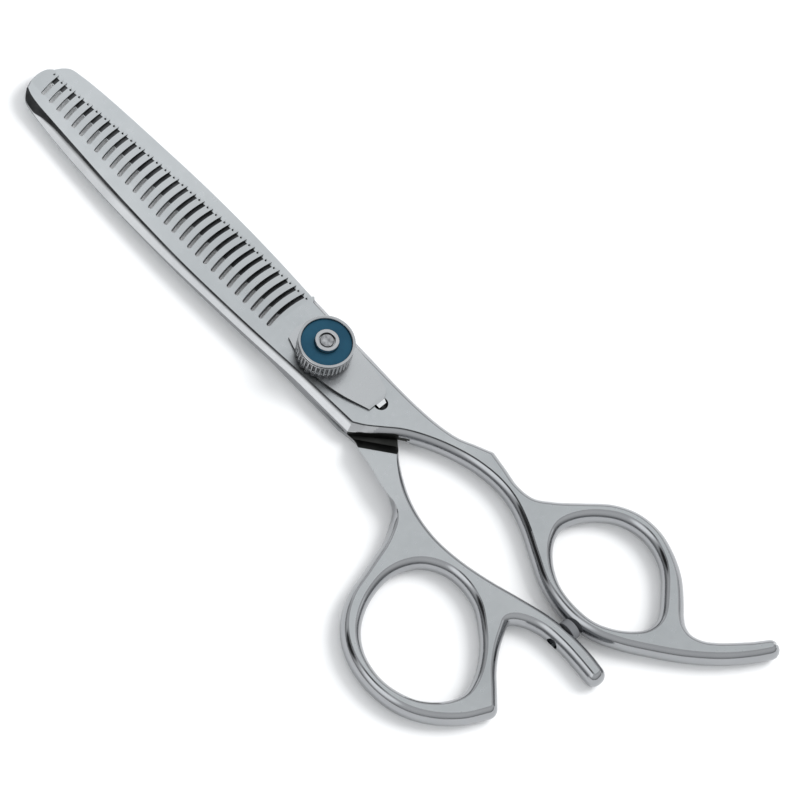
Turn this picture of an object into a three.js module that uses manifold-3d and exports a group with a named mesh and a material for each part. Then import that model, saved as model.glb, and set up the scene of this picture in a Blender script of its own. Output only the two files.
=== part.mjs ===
// Six-inch hairdresser's thinning shears: a toothed half over a plain half on a
// keyed pivot screw, with a leaf spring and a knurled tension dial on top.
// Millimetres, +Z up. The origin is on the pivot axis, on the plane the shears lie on.
// -X points to the blade tips and +X to the finger rings. +Y is the side of the teeth.
import * as THREE from 'three';
import { mergeVertices } from 'three/addons/utils/BufferGeometryUtils.js';
import Module from 'manifold-3d';

const wasm = await Module();
wasm.setup();

// ---- driving dimensions ----
const THICK = 4.6; // both halves together, and each handle
const BLADE_GAP = 0.1; // between the two inner faces
const PLAIN_TOP = (THICK - BLADE_GAP) / 2; // inner face of the plain half
const TOOTHED_BOTTOM = (THICK + BLADE_GAP) / 2; // inner face of the toothed half
const BLADE_HEEL_X = -8; // the blades grow thinner from here to the tips
const TIP_X = -74.85;
const TIP_RATIO = 0.47; // blade thickness at the tip over that at the heel

const HANDLE_BULGE = 1.25; // how far the rounded sides stand out from the flat faces
const HANDLE_ROUND = 2.2; // height of one rounded flank
const SPINE_BEVEL_WIDTH = 1.3;
const SPINE_BEVEL_DROP = 1.2;

const SLOT_COUNT = 30;
const SLOT_PITCH = 2.08;
const SLOT_HALF_WIDTH = 0.43;
const SLOT_ARC_RADIUS = 24;
const SLOT_ARC_MID_Y = 2.7;
const FIRST_SLOT_X = -71.85;
const NOTCH_DEPTH = 0.55;
const NOTCH_HALF_WIDTH = 0.32;

const CUTTING_EDGE_Y = 0.29; // straight edge of the plain blade
const EDGE_LAND = 0.2; // height left standing at the cutting edge
const EDGE_GRIND_WIDTH = 3.4;

const SCREW_RADIUS = 2;
const SCREW_FLAT = 1.6; // half width over the two flats
const SCREW_HEAD_RADIUS = 4;
const SCREW_HEAD_HEIGHT = 1;
const SCREW_TOP_Z = 10.75;
const SCREW_TIP_RADIUS = 1.35;
const SHANK_TOP_Z = 5; // the thread begins here
const KEYED_TOP_Z = 6.15; // the two flats run on up the thread to here
const THREAD_RADIUS = 1.9;
const THREAD_TOP_Z = 10.3;
const HEAD_RECESS_RADIUS = 4.2;
const HEAD_RECESS_DEPTH = 1.25;
const RUNNING_GAP = 0.05;
const WASHER_BORE = 2.1;
const WASHER_RECESS_RADIUS = 4.6;
const WASHER_RECESS_DEPTH = 0.2;
const WASHER_GAP = 0.02; // over and under each washer

const LEAF_THICK = 0.4;
const LEAF_RISE = 0.25; // the leaf is arched between its two ends
const LEAF_X0 = -7;
const LEAF_X1 = 13.4;
const TAB_HOLE = { x: 13.75, y: 1.6, radius: 1.25, depth: 1.6 };
const THRUST_WASHER = { radius: 3.2, z0: 5.29, z1: 5.65 };

const DIAL_BOTTOM_Z = 5.3;
const DIAL_COLLAR_RADIUS = 5.05;
const KNURL_BOTTOM_Z = 6.4;
const DIAL_RIM_Z = 10.2;
const DIAL_RADIUS = 5.25;
const DIAL_RECESS_RADIUS = 4.74;
const DIAL_RECESS_Z = 9.3;
const INLAY_THICK = 0.45;
const KNURL_COUNT = 40;
const BUSH_RADIUS = 2.2;
const BUSH_TOP_Z = 10.85;
const BUSH_LIP_RADIUS = 1.5;
const BUSH_LIP_Z = 10.6;

const BUMPER = {
  x: 68.1, z: THICK / 2, front: -1.37, back: -2.9, stemEnd: -5, radius: 2.05, stemRadius: 1.1,
};
const BUMPER_CLEARANCE = 0.04;

const CIRCLE_STEPS = 40;
const CURVE_STEPS = 3;

// ---- materials ----
const metal = (color, roughness) => new THREE.MeshStandardMaterial({ color, roughness, metalness: 1 });
const materials = {
  steel: metal(0xb9bfc2, 0.3),
  darkSteel: metal(0x8d9194, 0.35),
  springSteel: metal(0xc2c8ca, 0.28),
  blue: metal(0x2b5470, 0.4),
  ptfe: new THREE.MeshStandardMaterial({ color: 0xe9e9e4, roughness: 0.6, metalness: 0 }),
  greyPlastic: new THREE.MeshStandardMaterial({ color: 0x8c8e92, roughness: 0.45, metalness: 0 }),
};

// ---- solids and booleans ----
function toSolid(geometry) {
  const bare = geometry.clone();
  bare.deleteAttribute('normal');
  bare.deleteAttribute('uv');
  const merged = mergeVertices(bare, 1e-4);
  return new wasm.Manifold(new wasm.Mesh({
    numProp: 3,
    vertProperties: new Float32Array(merged.attributes.position.array),
    triVerts: new Uint32Array(merged.index.array),
  }));
}

function toMesh(name, solid, material) {
  const raw = solid.getMesh();
  const geometry = new THREE.BufferGeometry();
  geometry.setAttribute('position', new THREE.BufferAttribute(new Float32Array(raw.vertProperties), 3));
  geometry.setIndex(new THREE.BufferAttribute(new Uint32Array(raw.triVerts), 1));
  geometry.computeVertexNormals();
  const mesh = new THREE.Mesh(geometry, material);
  mesh.name = name;
  return mesh;
}

function shape2d(points) {
  return new THREE.Shape(points.map(([x, y]) => new THREE.Vector2(x, y)));
}

// Smooth curve through a few points, as [x, y] pairs.
function curve(points, closed = false) {
  const spline = new THREE.CatmullRomCurve3(
    points.map(([x, y]) => new THREE.Vector3(x, y, 0)), closed, 'centripetal');
  const count = (closed ? points.length : points.length - 1) * CURVE_STEPS;
  const samples = spline.getPoints(count).map((p) => [p.x, p.y]);
  return closed ? samples.slice(0, -1) : samples;
}

function prism(points, z0, z1) {
  const geometry = new THREE.ExtrudeGeometry(shape2d(points), { depth: z1 - z0, bevelEnabled: false });
  return toSolid(geometry.translate(0, 0, z0));
}

function cylinder(radius, z0, z1, steps = CIRCLE_STEPS) {
  const geometry = new THREE.CylinderGeometry(radius, radius, z1 - z0, steps);
  return toSolid(geometry.rotateX(Math.PI / 2).translate(0, 0, (z0 + z1) / 2));
}

function box(x0, x1, y0, y1, z0, z1) {
  const geometry = new THREE.BoxGeometry(x1 - x0, y1 - y0, z1 - z0);
  return toSolid(geometry.translate((x0 + x1) / 2, (y0 + y1) / 2, (z0 + z1) / 2));
}

// Ring turned about the Z axis from a closed [radius, z] profile.
function turned(profile, steps = CIRCLE_STEPS) {
  const closed = [...profile, profile[0]].map(([r, z]) => new THREE.Vector2(r, z));
  return toSolid(new THREE.LatheGeometry(closed, steps).rotateX(Math.PI / 2));
}

// Takes each cutter off in turn.
const cutAll = (solid, cutters) => cutters.reduce((left, cutter) => left.subtract(cutter), solid);

// The plain half's working side is the toothed half's turned over about the X axis.
function turnOver(geometry) {
  return geometry.rotateX(Math.PI).translate(0, 0, THICK);
}

// ---- outlines of the flat faces, in plan ----
const toothedInner = [
  [13.2, -4.85], [15.2, -3.45], [17.5, -1.3], [20.2, 1.25], [24, 3.75], [28.5, 5.9], [33.5, 7.5],
  [38.8, 8.15], [43.5, 7.65], [48.5, 5.9], [53.5, 3.45], [58.5, 1.1], [63, 0.1], [67.5, 0], [72, 1.15],
  [76, 3.3], [80.5, 6.6], [85.5, 10.8], [90, 15.6], [93, 19.9], [95.1, 23.7],
];
const toothedOuter = [
  [94, 23.9], [92.2, 21], [90.2, 18.3], [88, 15.6], [86, 13.85], [83.5, 12.9], [81.3, 13.2], [79.3, 14.4],
  [76.5, 16.95], [73, 19.75], [69, 21.7], [64.5, 22.8], [60, 22.3], [56, 20.1], [52.3, 16.1], [48.8, 12.2],
  [45.5, 9.55], [41.5, 8.95], [37.5, 9.6], [34, 10.15],
];
const toothedBack = [[34, 10.15], [31, 8.75], [28, 7.3], [24, 6.35], [19, 5.85], [12, 5.65]];
const upperRing = [
  [51.5, 10.3], [52.2, 13.8], [54.6, 17.6], [58.6, 20.8], [64, 21.95], [69.8, 20.35], [74.7, 16.3],
  [78.2, 11.7], [78.2, 7.9], [75.3, 4], [70.8, 1.2], [65.8, 0.5], [60.6, 1.2], [56, 3.6], [52.8, 6.9],
];
const plainNear = [
  [15.5, -5.6], [17, -6.6], [18.5, -7.2], [22, -7.7], [25, -8.5], [28, -9.15], [30, -9.75],
  [31.5, -10.7], [33, -12.3], [34.3, -14.5], [35.4, -17], [36.4, -20.4], [37.3, -23.5], [38.6, -28],
  [41, -32], [44.5, -35.1], [49, -36.95], [54.5, -37.5], [60, -36.4], [64.5, -33.7], [68.5, -29.2],
  [70.8, -24.4],
];
const plainPocket = [
  [70.4, -24], [68.2, -22], [65, -19.1], [62.3, -15.9], [60.3, -12.7], [59.2, -10.4], [59.7, -8.7],
  [61.5, -7.1], [65, -5.65], [69.5, -5.2], [74, -5.35], [78.2, -5.7],
];
const plainFar = [
  [78.2, -4.3], [74, -3.85], [69, -3.9], [64, -4.55], [58, -6.2], [52, -8], [46, -9.3], [40, -9.8],
  [34.5, -9.15], [30, -7.75], [26, -5.75], [23, -3.6], [20, -1.2], [16, 2.2],
];
const lowerRing = [
  [38.6, -21.5], [39.2, -17], [41.3, -13.4], [45, -11], [49, -10.35], [54, -11.3], [58.5, -14.1],
  [62.5, -17.8], [65.5, -22.4], [66.5, -26.2], [65.3, -30.2], [61.8, -34.2], [57.5, -36.2], [53, -36.75],
  [47.8, -35.6], [43.5, -32.7], [40.3, -28],
];

// ---- outlines of the blades at their widest, in plan ----
const toothedSpine = [
  [-72.4, -6.2], [-68.6, -6.85], [-60.6, -7.65], [-50.6, -8.15], [-40.6, -8.35], [-30.6, -8.3],
  [-20.6, -7.95], [-10.6, -7.5], [-4, -7],
];
const toothedTip = [[-73.75, 2.3], [-74.4, 1.35], [TIP_X, -0.6], [-74.5, -2.7], [-73.6, -4.9]];
const plainSpine = [
  [-73.9, 2], [-73.1, 3.75], [-71.9, 4.95], [-69.6, 5.5], [-65.6, 6.05], [-60.6, 6.5], [-50.6, 7.15],
  [-40.6, 7.7], [-30.6, 7.95], [-20.6, 7.9], [-10.6, 7.55], [-4, 7.2],
];

// The line of tooth tips bows gently towards the heel and swells at the blade's tip corner.
function toothTipY(x) {
  const t = x + 9.7;
  const swell = 0.9 * THREE.MathUtils.smoothstep(-x, 71.5, 74.5);
  return 6.8 + 0.0295 * t - 0.00076 * t * t + swell;
}

// ---- handles: flat faces with rounded flanks ----
function handle(outline, ring) {
  const outer = shape2d(outline);
  outer.holes.push(new THREE.Path(curve(ring, true).map(([x, y]) => new THREE.Vector2(x, y))));
  const straight = THICK - 2 * HANDLE_ROUND;
  const geometry = new THREE.ExtrudeGeometry(outer, {
    depth: straight,
    bevelThickness: HANDLE_ROUND,
    bevelSize: HANDLE_BULGE,
    bevelSegments: 2,
  });
  return toSolid(geometry.translate(0, 0, HANDLE_ROUND));
}

// A ramp cut across one end of a handle, so that the other half can lie over it. It is
// drawn for the plain half; the toothed half's ramp is the same, turned over.
function rampCutter(mirrored) {
  const start = new THREE.Vector2(17, -8);
  const end = new THREE.Vector2(22.9, -3.15);
  const across = end.clone().sub(start).normalize();
  const back = new THREE.Vector2(-across.y, across.x);
  const crest = THICK - 0.35;
  const foot = 2.5;
  const profile = [[-8, THICK], [0, crest], [foot, PLAIN_TOP], [40, PLAIN_TOP], [40, 7], [-8, 7]];
  const length = 70;
  const geometry = new THREE.ExtrudeGeometry(shape2d(profile), { depth: length, bevelEnabled: false });
  const up = new THREE.Vector3(0, 0, 1);
  const basis = new THREE.Matrix4().makeBasis(
    new THREE.Vector3(back.x, back.y, 0), up, new THREE.Vector3(across.x, across.y, 0));
  geometry.translate(0, 0, -length / 2).applyMatrix4(basis);
  geometry.translate((start.x + end.x) / 2, (start.y + end.y) / 2, 0);
  return toSolid(mirrored ? turnOver(geometry) : geometry);
}

// ---- blades: a bevelled slab, thinned evenly towards the tip ----
// The bevelled face is at z = THICK, and the slab reaches below the inner face.
function bevelledSlab(outline) {
  const depth = THICK - TOOTHED_BOTTOM;
  const geometry = new THREE.ExtrudeGeometry(shape2d(outline), {
    depth,
    bevelThickness: SPINE_BEVEL_DROP,
    bevelSize: SPINE_BEVEL_WIDTH,
    bevelOffset: -SPINE_BEVEL_WIDTH,
    bevelSegments: 1,
  });
  return geometry.translate(0, 0, THICK - depth - SPINE_BEVEL_DROP);
}

function thinned(geometry) {
  const position = geometry.attributes.position;
  const slope = (1 - TIP_RATIO) / (BLADE_HEEL_X - TIP_X);
  for (let i = 0; i < position.count; i += 1) {
    const ratio = 1 + (position.getX(i) - BLADE_HEEL_X) * slope;
    position.setZ(i, TOOTHED_BOTTOM + (position.getZ(i) - TOOTHED_BOTTOM) * ratio);
  }
  return geometry;
}

// Blade and pivot plate of one half, joined at the heel.
function bladeAndPlate(bladeOutline, plateOutline, turnedOver) {
  const mirrorY = ([x, y]) => [x, -y];
  const drawn = (outline) => bevelledSlab(turnedOver ? outline.map(mirrorY) : outline);
  const place = (geometry) => toSolid(turnedOver ? turnOver(geometry) : geometry);
  const z0 = turnedOver ? -1 : TOOTHED_BOTTOM;
  const z1 = turnedOver ? PLAIN_TOP : THICK + 1;
  const blade = place(thinned(drawn(bladeOutline))).intersect(box(-100, BLADE_HEEL_X, -30, 30, z0, z1));
  const plate = place(drawn(plateOutline)).intersect(box(BLADE_HEEL_X, 60, -30, 30, z0, z1));
  return blade.add(plate);
}

// ---- teeth ----
// The outer face is ground down from the slot roots to the thin tooth tips.
function toothFaceCutter() {
  const rootAtTip = new THREE.Vector3(-74, -2.9, 3.38);
  const rootAtHeel = new THREE.Vector3(-10, -3.6, THICK);
  const tipAtHeel = new THREE.Vector3(-10, 6.6, 3.05);
  const along = rootAtHeel.clone().sub(rootAtTip).normalize();
  const up = along.clone().cross(tipAtHeel.clone().sub(rootAtHeel)).normalize();
  const out = up.clone().cross(along);
  const geometry = new THREE.BoxGeometry(90, 20, 6).translate(-45.2, 10, 3);
  geometry.applyMatrix4(new THREE.Matrix4().makeBasis(along, out, up));
  return toSolid(geometry.translate(rootAtHeel.x, rootAtHeel.y, rootAtHeel.z));
}

function slotCutter(index) {
  const leftX = FIRST_SLOT_X + index * SLOT_PITCH;
  const rootY = -3.65 + 0.00065 * (leftX + 34) ** 2;
  const endY = 9;
  const steps = 6;
  const centreX = leftX + SLOT_ARC_RADIUS;
  const middleX = (y) => centreX - Math.sqrt(SLOT_ARC_RADIUS ** 2 - (y - SLOT_ARC_MID_Y) ** 2);
  const right = [];
  const left = [];
  for (let i = 0; i <= steps; i += 1) {
    const y = rootY + ((endY - rootY) * i) / steps;
    right.push([middleX(y) + SLOT_HALF_WIDTH, y]);
    left.push([middleX(y) - SLOT_HALF_WIDTH, y]);
  }
  const root = [[middleX(rootY), rootY - SLOT_HALF_WIDTH]];
  return prism([...right, ...left.reverse(), ...root], 1, 6);
}

// A small V in the tip of each tooth holds the hair while it is cut.
function notchCutter(index) {
  const x = FIRST_SLOT_X + (index - 0.5) * SLOT_PITCH;
  const y = toothTipY(x);
  const opening = 1;
  const spread = NOTCH_HALF_WIDTH * (1 + opening / NOTCH_DEPTH);
  return prism([[x, y - NOTCH_DEPTH], [x + spread, y + opening], [x - spread, y + opening]], 1, 6);
}

function toothCutters() {
  const cutters = [toothFaceCutter()];
  for (let i = 0; i < SLOT_COUNT; i += 1) {
    cutters.push(slotCutter(i), notchCutter(i));
  }
  cutters.push(notchCutter(SLOT_COUNT));
  return cutters;
}

// ---- the pivot hole, keyed for the screw's flats ----
function keyedBar(shaftRadius, clearance, z0, z1) {
  const radius = shaftRadius + clearance;
  const flat = SCREW_FLAT + clearance;
  return cylinder(radius, z0, z1).intersect(box(-radius - 1, radius + 1, -flat, flat, z0 - 1, z1 + 1));
}

function toothedHalf() {
  const tips = [];
  for (let x = BLADE_HEEL_X - 1.7; x > -73; x -= 6.3) {
    tips.push([x, toothTipY(x)]);
  }
  const bladeOutline = [...curve(toothedSpine), [-4, 6.9], ...tips, ...toothedTip];
  const plateOutline = [
    [-14, -7.65], ...curve([[-10.6, -7.5], [-4, -7], [4, -6.75], [14.2, -6.55]]),
    [17, -3.2], [20, 1], [20, 5.5], [14, 6.75], [6, 6.9], [-14, 6.9],
  ];
  const gripOutline = [
    ...curve(toothedInner), ...curve(toothedOuter), ...curve(toothedBack).slice(1),
    [10.5, 5.65], [10.5, -4.9],
  ];
  const grip = handle(gripOutline, upperRing).subtract(rampCutter(true));
  return cutAll(bladeAndPlate(bladeOutline, plateOutline, false).add(grip), [
    ...toothCutters(),
    keyedBar(SCREW_RADIUS, 0.03, 1, 6),
    cylinder(WASHER_RECESS_RADIUS, 1, TOOTHED_BOTTOM + WASHER_RECESS_DEPTH),
    tabHole(),
  ]);
}

function tabHole() {
  const geometry = new THREE.CylinderGeometry(TAB_HOLE.radius, TAB_HOLE.radius, 2 * TAB_HOLE.depth, 24);
  return toSolid(geometry.rotateX(Math.PI / 2).translate(TAB_HOLE.x, TAB_HOLE.y, THICK));
}

// The plain blade is ground on its outer face, up to the straight cutting edge.
function edgeGrindCutter() {
  const profile = [
    [CUTTING_EDGE_Y - 3, -1], [CUTTING_EDGE_Y + EDGE_GRIND_WIDTH, -1],
    [CUTTING_EDGE_Y + EDGE_GRIND_WIDTH, 0], [CUTTING_EDGE_Y, PLAIN_TOP - EDGE_LAND],
    [CUTTING_EDGE_Y - 3, PLAIN_TOP - EDGE_LAND],
  ];
  const length = 70;
  const geometry = new THREE.ExtrudeGeometry(shape2d(profile), { depth: length, bevelEnabled: false });
  const basis = new THREE.Matrix4().makeBasis(
    new THREE.Vector3(0, 1, 0), new THREE.Vector3(0, 0, 1), new THREE.Vector3(1, 0, 0));
  return toSolid(geometry.applyMatrix4(basis).translate(BLADE_HEEL_X - 1 - length, 0, 0));
}

// Bar lying along Y, for the bumper and its seat.
function barAlongY(radius, y0, y1) {
  const geometry = new THREE.CylinderGeometry(radius, radius, y1 - y0, 28);
  return toSolid(geometry.translate(BUMPER.x, (y0 + y1) / 2, BUMPER.z));
}

function plainHalf() {
  const bladeOutline = [
    [-73.9, CUTTING_EDGE_Y], [-4, CUTTING_EDGE_Y], ...curve(plainSpine).reverse(),
  ];
  const plateOutline = [
    [-14, -6.75], [12, -6.75], [15, -7], [18.5, -8], [22, -8.5], [22, -3], [20.4, 0], [18.8, 1.8],
    [16.5, 4.2], [13.5, 6.2], [10, 6.9], [-4, 7.2], [-14, 7.5],
  ];
  const gripOutline = [...curve(plainNear), ...curve(plainPocket), ...curve(plainFar)];
  const grip = handle(gripOutline, lowerRing).subtract(rampCutter(false));
  const seat = BUMPER_CLEARANCE;
  return cutAll(bladeAndPlate(bladeOutline, plateOutline, true).add(grip), [
    edgeGrindCutter(),
    cylinder(SCREW_RADIUS + RUNNING_GAP, -1, 3),
    cylinder(HEAD_RECESS_RADIUS, -1, HEAD_RECESS_DEPTH),
    cylinder(WASHER_RECESS_RADIUS, PLAIN_TOP - WASHER_RECESS_DEPTH, 3),
    barAlongY(BUMPER.radius + seat, BUMPER.back - seat, 0),
    barAlongY(BUMPER.stemRadius + seat, -9, 0),
  ]);
}

// ---- pivot ----
function pivotScrew() {
  const chamfer = 0.15;
  const profile = [
    [0, 0], [SCREW_HEAD_RADIUS - chamfer, 0], [SCREW_HEAD_RADIUS, chamfer],
    [SCREW_HEAD_RADIUS, SCREW_HEAD_HEIGHT], [SCREW_RADIUS, SCREW_HEAD_HEIGHT], [SCREW_RADIUS, SHANK_TOP_Z],
    [THREAD_RADIUS, SHANK_TOP_Z], [THREAD_RADIUS, THREAD_TOP_Z], [SCREW_TIP_RADIUS, THREAD_TOP_Z],
    [SCREW_TIP_RADIUS, SCREW_TOP_Z - chamfer], [SCREW_TIP_RADIUS - chamfer, SCREW_TOP_Z], [0, SCREW_TOP_Z],
  ].map(([r, z]) => new THREE.Vector2(r, z));
  const body = toSolid(new THREE.LatheGeometry(profile, CIRCLE_STEPS).rotateX(Math.PI / 2));
  const keyStart = TOOTHED_BOTTOM + WASHER_RECESS_DEPTH;
  const spannerHole = (x) => toSolid(
    new THREE.CylinderGeometry(0.5, 0.5, 1, 12).rotateX(Math.PI / 2).translate(x, 0, 0));
  return cutAll(body, [
    box(-3, 3, SCREW_FLAT, 3, keyStart, KEYED_TOP_Z),
    box(-3, 3, -3, -SCREW_FLAT, keyStart, KEYED_TOP_Z),
    spannerHole(-2.6),
    spannerHole(2.6),
  ]);
}

const flatWasher = (inner, outer, z0, z1) => turned([[inner, z0], [outer, z0], [outer, z1], [inner, z1]]);

function thrustWasher() {
  const { radius, z0, z1 } = THRUST_WASHER;
  return cylinder(radius, z0, z1).subtract(keyedBar(THREAD_RADIUS, 0.04, z0 - 1, z1 + 1));
}

// ---- leaf spring: an arched plate whose tab hooks into the toothed half ----
function leafSpring() {
  const steps = 14;
  const rest = THICK + 0.02;
  const under = [];
  for (let i = 0; i <= steps; i += 1) {
    const t = i / steps;
    under.push([LEAF_X0 + (LEAF_X1 - LEAF_X0) * t, rest + LEAF_RISE * Math.sin(Math.PI * t)]);
  }
  const over = under.map(([x, z]) => [x, z + LEAF_THICK]).reverse();
  const strip = new THREE.ExtrudeGeometry(shape2d([...under, ...over]), { depth: 20, bevelEnabled: false });
  const arched = toSolid(strip.rotateX(Math.PI / 2).translate(0, 10, 0));
  const outline = prism([
    ...curve([[-6.4, -2.6], [-2, -4], [3, -4.25], [8, -3.2], [LEAF_X1, -1.15]]),
    [LEAF_X1 - 0.1, 3.2], [12.5, 4], ...curve([[9.5, 4.7], [3, 5.2], [-3, 4.5], [-6.7, 2.4]]), [-7, 0],
  ], 4, 7);
  const tabHalf = 0.85;
  const tab = box(LEAF_X1 - LEAF_THICK, LEAF_X1, TAB_HOLE.y - tabHalf, TAB_HOLE.y + tabHalf,
    THICK - TAB_HOLE.depth + 0.4, rest + LEAF_THICK);
  return arched.intersect(outline).add(tab).subtract(cylinder(SCREW_RADIUS + RUNNING_GAP, 4, 7));
}

// ---- tension dial ----
function tensionDial() {
  const cavity = THRUST_WASHER.radius + 0.2;
  const bore = BUSH_RADIUS + 0.02;
  const ceiling = THRUST_WASHER.z1 + RUNNING_GAP;
  const chamfer = 0.1;
  const core = turned([
    [bore, ceiling], [cavity, ceiling], [cavity, DIAL_BOTTOM_Z],
    [DIAL_COLLAR_RADIUS - chamfer, DIAL_BOTTOM_Z], [DIAL_COLLAR_RADIUS, DIAL_BOTTOM_Z + chamfer],
    [DIAL_COLLAR_RADIUS, DIAL_RIM_Z - chamfer],
    [DIAL_COLLAR_RADIUS - chamfer, DIAL_RIM_Z], [DIAL_RECESS_RADIUS, DIAL_RIM_Z],
    [DIAL_RECESS_RADIUS, DIAL_RECESS_Z], [bore, DIAL_RECESS_Z],
  ], 2 * KNURL_COUNT);
  const ridges = [];
  for (let i = 0; i < 2 * KNURL_COUNT; i += 1) {
    const angle = (Math.PI * i) / KNURL_COUNT;
    const radius = i % 2 ? DIAL_RADIUS : DIAL_COLLAR_RADIUS;
    ridges.push([radius * Math.cos(angle), radius * Math.sin(angle)]);
  }
  const sleeve = prism(ridges, KNURL_BOTTOM_Z, DIAL_RIM_Z - 0.2);
  return core.add(sleeve.subtract(cylinder(DIAL_COLLAR_RADIUS - 0.2, KNURL_BOTTOM_Z - 1, DIAL_RIM_Z + 1)));
}

function dialBush() {
  const thread = THREAD_RADIUS + 0.04;
  const foot = THRUST_WASHER.z1 + RUNNING_GAP;
  return turned([
    [thread, foot], [BUSH_RADIUS, foot], [BUSH_RADIUS, BUSH_TOP_Z - 0.15], [BUSH_RADIUS - 0.15, BUSH_TOP_Z],
    [BUSH_LIP_RADIUS, BUSH_TOP_Z], [BUSH_LIP_RADIUS, BUSH_LIP_Z], [thread, BUSH_LIP_Z],
  ]);
}

function bumper() {
  const { back, front, radius, stemRadius, stemEnd } = BUMPER;
  return barAlongY(radius, back, front).add(barAlongY(stemRadius, stemEnd, back + 0.5));
}

// ---- the object ----
const pieces = [
  ['toothed_half', toothedHalf(), materials.steel],
  ['plain_half', plainHalf(), materials.steel],
  ['pivot_screw', pivotScrew(), materials.steel],
  ['head_washer', flatWasher(WASHER_BORE, 3.9, SCREW_HEAD_HEIGHT + WASHER_GAP,
    HEAD_RECESS_DEPTH - WASHER_GAP), materials.ptfe],
  ['ride_washer', flatWasher(WASHER_BORE, 4.4, PLAIN_TOP - WASHER_RECESS_DEPTH + WASHER_GAP,
    TOOTHED_BOTTOM + WASHER_RECESS_DEPTH - WASHER_GAP), materials.ptfe],
  ['leaf_spring', leafSpring(), materials.springSteel],
  ['thrust_washer', thrustWasher(), materials.darkSteel],
  ['tension_dial', tensionDial(), materials.steel],
  ['dial_inlay', flatWasher(BUSH_RADIUS + 0.04, DIAL_RECESS_RADIUS - 0.04, DIAL_RECESS_Z,
    DIAL_RECESS_Z + INLAY_THICK), materials.blue],
  ['dial_bush', dialBush(), materials.steel],
  ['stop_bumper', bumper(), materials.greyPlastic],
];

const shears = new THREE.Group();
for (const [name, solid, material] of pieces) {
  shears.add(toMesh(name, solid, material));
}

export default shears;
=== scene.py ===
import math

import bmesh
import bpy
import numpy as np
from mathutils import Matrix, Vector, geometry


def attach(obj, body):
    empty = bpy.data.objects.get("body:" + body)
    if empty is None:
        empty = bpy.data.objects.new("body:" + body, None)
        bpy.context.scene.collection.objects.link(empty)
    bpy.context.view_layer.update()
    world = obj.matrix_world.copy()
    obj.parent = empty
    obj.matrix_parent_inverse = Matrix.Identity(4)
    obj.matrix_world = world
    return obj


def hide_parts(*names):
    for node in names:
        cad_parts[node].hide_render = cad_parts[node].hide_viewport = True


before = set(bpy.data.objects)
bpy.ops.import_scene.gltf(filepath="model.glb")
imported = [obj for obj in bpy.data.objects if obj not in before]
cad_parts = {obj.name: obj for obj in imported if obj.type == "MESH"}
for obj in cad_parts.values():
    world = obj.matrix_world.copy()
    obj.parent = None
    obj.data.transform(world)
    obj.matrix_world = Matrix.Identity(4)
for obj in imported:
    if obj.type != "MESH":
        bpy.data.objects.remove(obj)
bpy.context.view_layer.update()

# Lengths below are in millimetres and are scaled on their way into a mesh.
MM = 0.001
THICK = 4.6
PLAIN_TOP = 2.25
TOOTHED_BOTTOM = 2.35
MID = THICK / 2
HEEL_X = -8.0
TIP_X = -74.85
TIP_RATIO = 0.47

FLANK_RADIUS = 2.742
FLANK_ANGLE = 57.0
BULGE = FLANK_RADIUS * (1 - math.cos(math.radians(FLANK_ANGLE)))
BEVEL_SLOPE = 0.75
BACK_DROP = 1.2
CHAMFER_SLOPE = 0.42
CORNER_RADIUS = 0.55

SLOT_COUNT = 30
SLOT_PITCH = 2.08
SLOT_HALF = 0.43
SLOT_ARC = 24.0
FIRST_SLOT_X = -71.85
EDGE_Y = 0.29
TAB_HOLE_X, TAB_HOLE_Y, TAB_HOLE_RADIUS = 13.85, 1.55, 1.35
NECK_X = 12.6
UNDERCUT = 2.3
HOLLOW_Z = 2.05
WASHER_SEAT_RADIUS, WASHER_SEAT_DEPTH = 4.6, 0.2
BUMPER_X = 68.1

# ---------------------------------------------------------------- outlines
# Columns: x, y, flank width, and 0 for a blade section or 1 for a handle section.
G = BULGE
TOOTHED_INNER = [
    (13.2, -4.85, 1.65, 0), (15.2, -3.45, 1.4, 0.3), (17.5, -1.3, G, 0.7), (20.2, 1.25, G, 1),
    (24, 3.75, G, 1), (28.5, 5.9, G, 1), (33.5, 7.5, G, 1), (38.8, 8.15, G, 1), (43.5, 7.65, G, 1),
    (48.5, 5.9, G, 1), (53.5, 3.45, G, 1), (58.5, 1.1, G, 1), (63, 0.1, G, 1), (67.5, 0, G, 1),
    (72, 1.15, G, 1), (76, 3.3, G, 1), (80.5, 6.6, G, 1), (85.5, 10.8, G, 1), (90, 15.6, G, 1),
    (93, 19.9, G, 1), (95.1, 23.7, G, 1),
]
TOOTHED_OUTER = [
    (94, 23.9, G, 1), (92.2, 21, G, 1), (90.2, 18.3, G, 1), (88, 15.6, G, 1), (86, 13.85, G, 1),
    (83.5, 12.9, G, 1), (81.3, 13.2, G, 1), (79.3, 14.4, G, 1), (76.5, 16.95, G, 1), (73, 19.75, G, 1),
    (69, 21.7, G, 1), (64.5, 22.8, G, 1), (60, 22.3, G, 1), (56, 20.1, G, 1), (52.3, 16.1, G, 1),
    (48.8, 12.2, G, 1), (45.5, 9.55, G, 1), (41.5, 8.95, G, 1), (37.5, 9.6, G, 1), (34, 10.15, G, 1),
]
TOOTHED_BACK = [
    (34, 10.15, G, 1), (31, 8.75, G, 1), (28, 7.3, G, 1), (24, 6.35, G, 1), (19, 5.85, G, 1),
    (14, 5.7, G, 1), (5, 5.65, 1.2, 0), (-3, 5.75, 1.15, 0), (-8.8, 5.9, 1.1, 0),
]
TOOTHED_TIP = [
    (-73.75, 2.3, 0.03, 0), (-74.4, 1.35, 0.1, 0), (-74.68, -0.4, 0.15, 0), (-74.42, -2.6, 0.18, 0),
    (-73.84, -4.13, 0.25, 0),
]
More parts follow.
